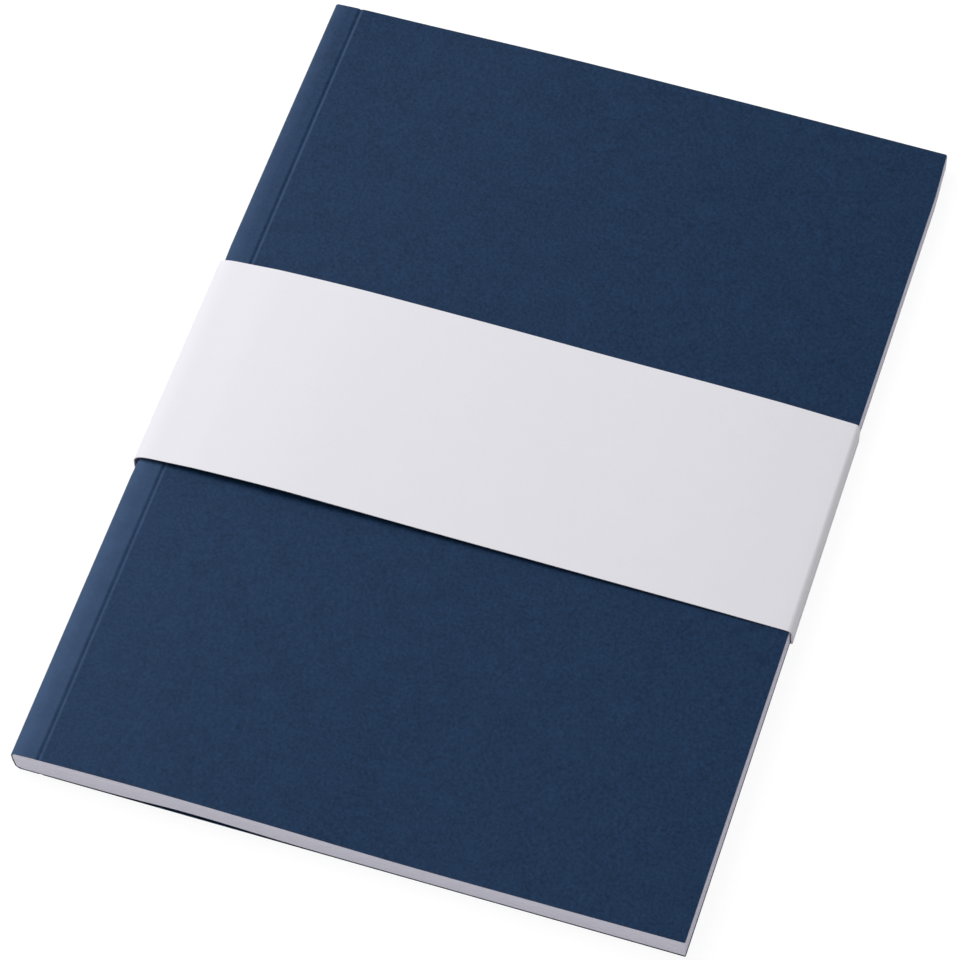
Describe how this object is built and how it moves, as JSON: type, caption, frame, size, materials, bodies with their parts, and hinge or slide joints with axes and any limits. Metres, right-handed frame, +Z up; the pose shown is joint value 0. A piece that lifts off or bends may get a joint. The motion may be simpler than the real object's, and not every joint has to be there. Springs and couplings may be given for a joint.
{
  "type": "softcover notebook",
  "caption": "Glued softcover notebook with a scored navy card cover, plain white leaves and a white paper belly band round its middle.",
  "frame": {"origin": "on the surface that the notebook lies on, under the middle of its outline", "axes": "+X from the spine to the fore edge, +Y along the spine from foot to head, +Z up out of the front cover"},
  "size_m": [0.1496, 0.21, 0.0071],
  "materials": {
    "navy_card": "matt uncoated card",
    "white_paper": "matt",
    "binding_glue": "matt",
    "band_paper": "smooth uncoated paper"
  },
  "bodies": {
    "back_cover": {"back_cover_panel": "navy_card"},
    "back_half": {"back_spine_wrap": "navy_card", "back_spine_glue": "binding_glue", "back_side_glue": "binding_glue", "leaf_26": "white_paper", "leaf_27": "white_paper", "leaf_28": "white_paper", "leaf_29": "white_paper", "leaf_30": "white_paper", "leaf_31": "white_paper", "leaf_32": "white_paper", "leaf_33": "white_paper", "leaf_34": "white_paper", "leaf_35": "white_paper", "leaf_36": "white_paper", "leaf_37": "white_paper", "leaf_38": "white_paper", "leaf_39": "white_paper", "leaf_40": "white_paper", "leaf_41": "white_paper", "leaf_42": "white_paper", "leaf_43": "white_paper", "last_leaf": "white_paper"},
    "fan_leaf_1": {"leaf_25": "white_paper"},
    "fan_leaf_2": {"leaf_24": "white_paper"},
    "fan_leaf_3": {"leaf_23": "white_paper"},
    "fan_leaf_4": {"leaf_22": "white_paper"},
    "fan_leaf_5": {"leaf_21": "white_paper"},
    "fan_leaf_6": {"leaf_20": "white_paper"},
    "front_half": {"front_spine_wrap": "navy_card", "front_spine_glue": "binding_glue", "front_side_glue": "binding_glue", "first_leaf_margin": "white_paper", "leaf_02": "white_paper", "leaf_03": "white_paper", "leaf_04": "white_paper", "leaf_05": "white_paper", "leaf_06": "white_paper", "leaf_07": "white_paper", "leaf_08": "white_paper", "leaf_09": "white_paper", "leaf_10": "white_paper", "leaf_11": "white_paper", "leaf_12": "white_paper", "leaf_13": "white_paper", "leaf_14": "white_paper", "leaf_15": "white_paper", "leaf_16": "white_paper", "leaf_17": "white_paper", "leaf_18": "white_paper", "leaf_19": "white_paper"},
    "first_leaf": {"first_leaf": "white_paper"},
    "front_cover": {"front_cover_panel": "navy_card"},
    "band_back": {"band_back_panel": "band_paper", "band_glue_flap": "band_paper"},
    "band_back_spine": {"band_back_spine": "band_paper"},
    "band_front_spine": {"band_front_spine": "band_paper"},
    "band_front": {"band_front_panel": "band_paper", "band_fore_edge": "band_paper"}
  },
  "joints": [
    {"name": "back_cover_open", "type": "hinge", "parent": "back_cover", "child": "back_half", "pos_m": [-0.06822, 0, 0], "axis": [0, 1, 0], "range_deg": [-175, 0]},
    {"name": "middle_open", "type": "hinge", "parent": "back_half", "child": "front_half", "pos_m": [-0.07483, 0, 0.00355], "axis": [0, -1, 0], "range_deg": [0, 175]},
    {"name": "first_leaf_turn", "type": "hinge", "parent": "front_half", "child": "first_leaf", "pos_m": [-0.06822, 0, 0.00709], "axis": [0, 1, 0], "range_deg": [-175, 0]},
    {"name": "front_cover_open", "type": "hinge", "parent": "first_leaf", "child": "front_cover", "pos_m": [-0.06822, 0, 0.00709], "axis": [0, -1, 0], "range_deg": [0, 175]},
    {"name": "fan_leaf_1_turn", "type": "hinge", "parent": "back_half", "child": "fan_leaf_1", "pos_m": [-0.07483, 0, 0.00355], "axis": [0, -1, 0], "range_deg": [0, 25]},
    {"name": "fan_leaf_2_turn", "type": "hinge", "parent": "back_half", "child": "fan_leaf_2", "pos_m": [-0.07483, 0, 0.00355], "axis": [0, -1, 0], "range_deg": [0, 50]},
    {"name": "fan_leaf_3_turn", "type": "hinge", "parent": "back_half", "child": "fan_leaf_3", "pos_m": [-0.07483, 0, 0.00355], "axis": [0, -1, 0], "range_deg": [0, 75]},
    {"name": "fan_leaf_4_turn", "type": "hinge", "parent": "back_half", "child": "fan_leaf_4", "pos_m": [-0.07483, 0, 0.00355], "axis": [0, -1, 0], "range_deg": [0, 100]},
    {"name": "fan_leaf_5_turn", "type": "hinge", "parent": "back_half", "child": "fan_leaf_5", "pos_m": [-0.07483, 0, 0.00355], "axis": [0, -1, 0], "range_deg": [0, 125]},
    {"name": "fan_leaf_6_turn", "type": "hinge", "parent": "back_half", "child": "fan_leaf_6", "pos_m": [-0.07483, 0, 0.00355], "axis": [0, -1, 0], "range_deg": [0, 150]},
    {"name": "band_slide", "type": "slide", "parent": "back_cover", "child": "band_back", "axis": [0, 1, 0], "range_m": [-0.14, 0.14]},
    {"name": "band_back_spine_slide", "type": "slide", "parent": "back_half", "child": "band_back_spine", "axis": [0, 1, 0], "range_m": [-0.14, 0.14]},
    {"name": "band_front_spine_slide", "type": "slide", "parent": "front_half", "child": "band_front_spine", "axis": [0, 1, 0], "range_m": [-0.14, 0.14]},
    {"name": "band_front_slide", "type": "slide", "parent": "front_cover", "child": "band_front", "axis": [0, 1, 0], "range_m": [-0.14, 0.14]}
  ],
  "couplings": [
    {"joint": "fan_leaf_1_turn", "follows": "middle_open", "ratio": 0.14286},
    {"joint": "fan_leaf_2_turn", "follows": "middle_open", "ratio": 0.28571},
    {"joint": "fan_leaf_3_turn", "follows": "middle_open", "ratio": 0.42857},
    {"joint": "fan_leaf_4_turn", "follows": "middle_open", "ratio": 0.57143},
    {"joint": "fan_leaf_5_turn", "follows": "middle_open", "ratio": 0.71428},
    {"joint": "fan_leaf_6_turn", "follows": "middle_open", "ratio": 0.85714},
    {"joint": "band_back_spine_slide", "follows": "band_slide", "ratio": 1},
    {"joint": "band_front_spine_slide", "follows": "band_slide", "ratio": 1},
    {"joint": "band_front_slide", "follows": "band_slide", "ratio": 1}
  ]
}
